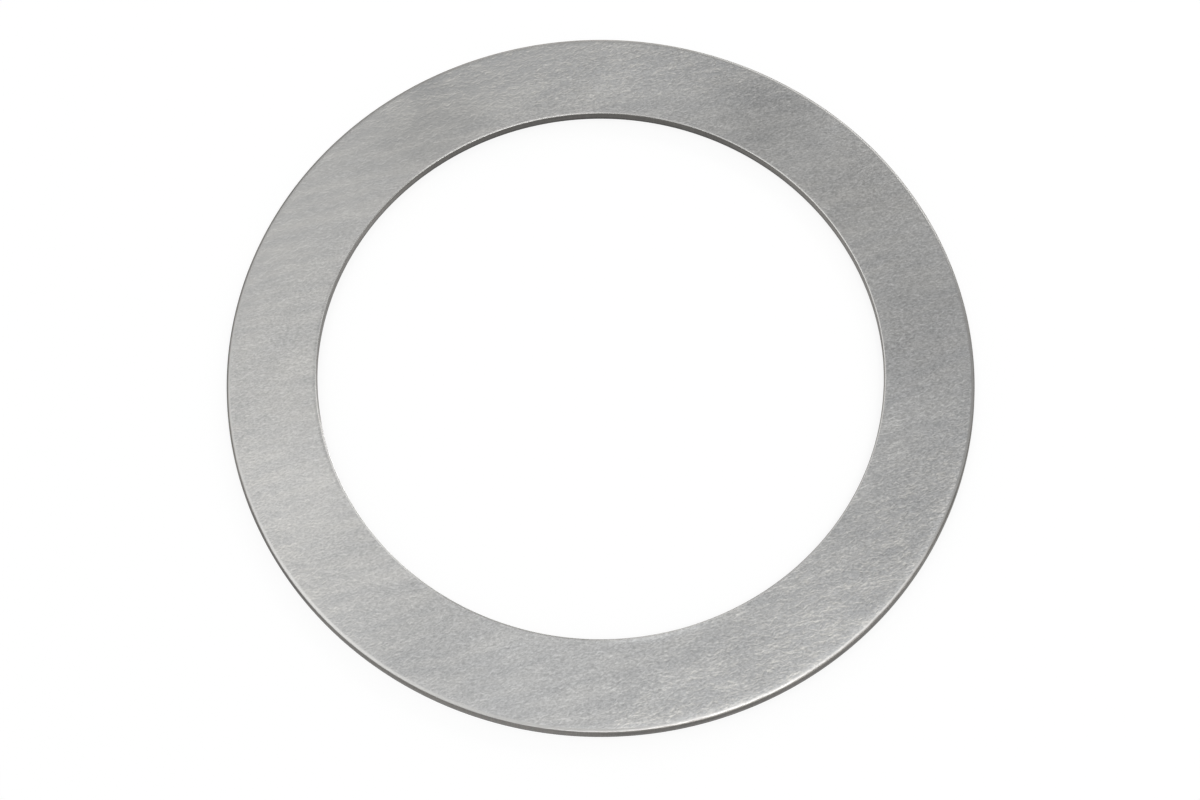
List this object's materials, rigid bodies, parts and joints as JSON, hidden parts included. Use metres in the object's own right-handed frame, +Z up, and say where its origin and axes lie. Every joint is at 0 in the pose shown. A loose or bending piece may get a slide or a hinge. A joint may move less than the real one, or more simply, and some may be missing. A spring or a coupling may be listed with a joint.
{
  "type": "shim ring",
  "caption": "Flat blanked steel shim ring that sets axial play or spacing between a bearing, gear or shoulder and its neighbour.",
  "frame": {"origin": "centre of the underside, on the ring's axis", "axes": "+Z up along the ring's axis, towards the side where the bore's edge is rolled over; +X and +Y are any two radii"},
  "size_m": [0.07, 0.07, 0.0013],
  "materials": {
    "steel": "satin, tumbled after blanking"
  },
  "bodies": {
    "root": {"shim_ring": "steel"}
  },
  "joints": []
}
